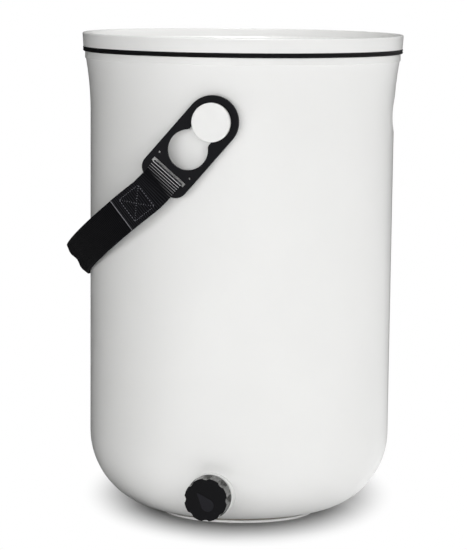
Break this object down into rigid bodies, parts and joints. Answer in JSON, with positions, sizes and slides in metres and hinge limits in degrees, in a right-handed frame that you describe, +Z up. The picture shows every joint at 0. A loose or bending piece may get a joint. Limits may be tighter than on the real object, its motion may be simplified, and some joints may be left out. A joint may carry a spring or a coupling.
{
  "type": "bokashi bin",
  "caption": "Lidded kitchen bokashi bin with a drain tap, an inner strainer and a webbing carrying strap that swings on side buttons.",
  "frame": {"origin": "centre of the foot ring, on the surface that the bin stands on", "axes": "+Z up along the bucket's axis; the tap and the front strap button face -Y; the strap leans on the -X side"},
  "size_m": [0.2833, 0.2916, 0.4056],
  "materials": {
    "bucket_white": "satin white polypropylene",
    "lid_white": "satin white polypropylene",
    "cap_white": "satin white polypropylene",
    "seal_rubber": "matt black rubber",
    "strainer_grey": "matt light grey polypropylene",
    "black_plastic": "fine-grained black plastic",
    "tap_black": "glossy black plastic",
    "strap_webbing": "black woven webbing",
    "screw_steel": "plain stainless steel",
    "gasket_rubber": "matt black rubber"
  },
  "bodies": {
    "bin": {"bucket": "bucket_white", "front_button_post": "black_plastic", "rear_button_post": "black_plastic", "front_button_cap": "cap_white", "rear_button_cap": "cap_white", "button_screws": "screw_steel", "button_washers": "gasket_rubber", "tap_gasket": "gasket_rubber", "tap_housing": "tap_black", "tap_nut": "black_plastic", "tap_clip": "screw_steel"},
    "lid": {"lid": "lid_white", "lid_seal": "seal_rubber"},
    "strainer": {"strainer": "strainer_grey"},
    "handle": {"front_strap_plate": "black_plastic", "rear_strap_plate": "black_plastic", "strap": "strap_webbing"},
    "tap": {"tap_knob": "tap_black", "tap_plug": "tap_black", "tap_o_rings": "gasket_rubber"}
  },
  "joints": [
    {"name": "lid_lift", "type": "slide", "parent": "bin", "child": "lid", "axis": [0, 0, 1], "range_m": [0, 0.15]},
    {"name": "strainer_lift", "type": "slide", "parent": "bin", "child": "strainer", "axis": [0, 0, 1], "range_m": [0, 0.28]},
    {"name": "handle_swing", "type": "hinge", "parent": "bin", "child": "handle", "pos_m": [0, 0, 0.3385], "axis": [0, 1, 0], "range_deg": [0, 261]},
    {"name": "tap_turn", "type": "hinge", "parent": "bin", "child": "tap", "pos_m": [0, -0.14, 0.0335], "axis": [0, -1, 0], "range_deg": [0, 90]}
  ]
}
